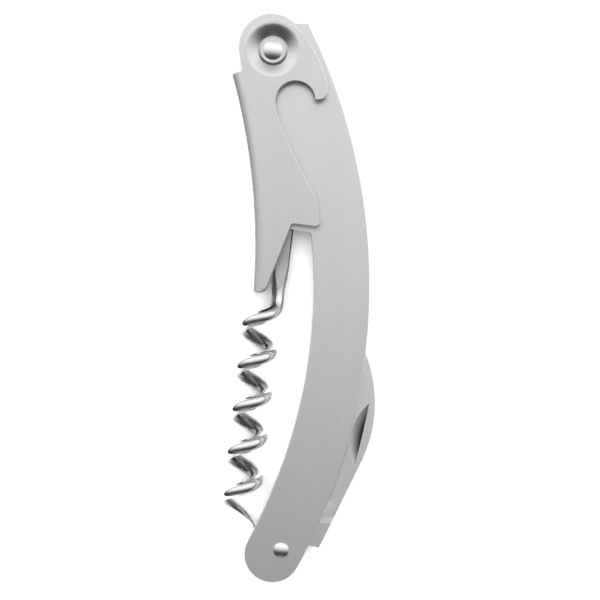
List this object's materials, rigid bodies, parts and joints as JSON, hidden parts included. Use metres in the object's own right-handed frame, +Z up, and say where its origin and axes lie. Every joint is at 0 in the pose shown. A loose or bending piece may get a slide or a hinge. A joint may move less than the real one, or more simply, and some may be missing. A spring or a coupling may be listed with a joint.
{
  "type": "waiter's corkscrew",
  "caption": "Folding waiter's corkscrew: curved two-plate steel handle with a folded boot lever and cap lifter, a wire worm and a foil knife on rivets.",
  "frame": {"origin": "middle of the closed tool's footprint, on the surface that it lies on", "axes": "+Y along the handle towards the lever's hinge, +X towards the handle's convex side, +Z up through the tool, along the hinge pins"},
  "size_m": [0.0333, 0.1198, 0.0098],
  "materials": {
    "brushed_plate": "fine straight brushing",
    "brushed_lever": "fine straight brushing",
    "satin_blade": "satin ground",
    "spring_steel": "plain ground",
    "washer_steel": "satin",
    "polished_worm": "polished",
    "polished_rivet": "polished"
  },
  "bodies": {
    "handle": {"front_plate": "brushed_plate", "rear_plate": "brushed_plate", "spine_spring": "spring_steel", "upper_dowel": "spring_steel", "lower_dowel": "spring_steel", "lever_rivet": "polished_rivet", "front_lever_washer": "washer_steel", "rear_lever_washer": "washer_steel", "worm_rivet": "polished_rivet", "knife_rivet": "polished_rivet", "front_knife_washer": "washer_steel", "rear_knife_washer": "washer_steel"},
    "lever": {"lever": "brushed_lever"},
    "worm": {"worm": "polished_worm"},
    "knife": {"knife": "satin_blade"}
  },
  "joints": [
    {"name": "lever_hinge", "type": "hinge", "parent": "handle", "child": "lever", "pos_m": [-0.00461, 0.05184, 0.0049], "axis": [0, 0, -1], "range_deg": [0, 165]},
    {"name": "worm_hinge", "type": "hinge", "parent": "handle", "child": "worm", "pos_m": [-0.00131, 0.02014, 0.0049], "axis": [0, 0, -1], "range_deg": [0, 90]},
    {"name": "knife_hinge", "type": "hinge", "parent": "handle", "child": "knife", "pos_m": [-0.00296, -0.0531, 0.0049], "axis": [0, 0, -1], "range_deg": [0, 170]}
  ],
  "couplings": [
    {"joint": "worm_hinge", "follows": "lever_hinge", "ratio": 0.54545}
  ]
}
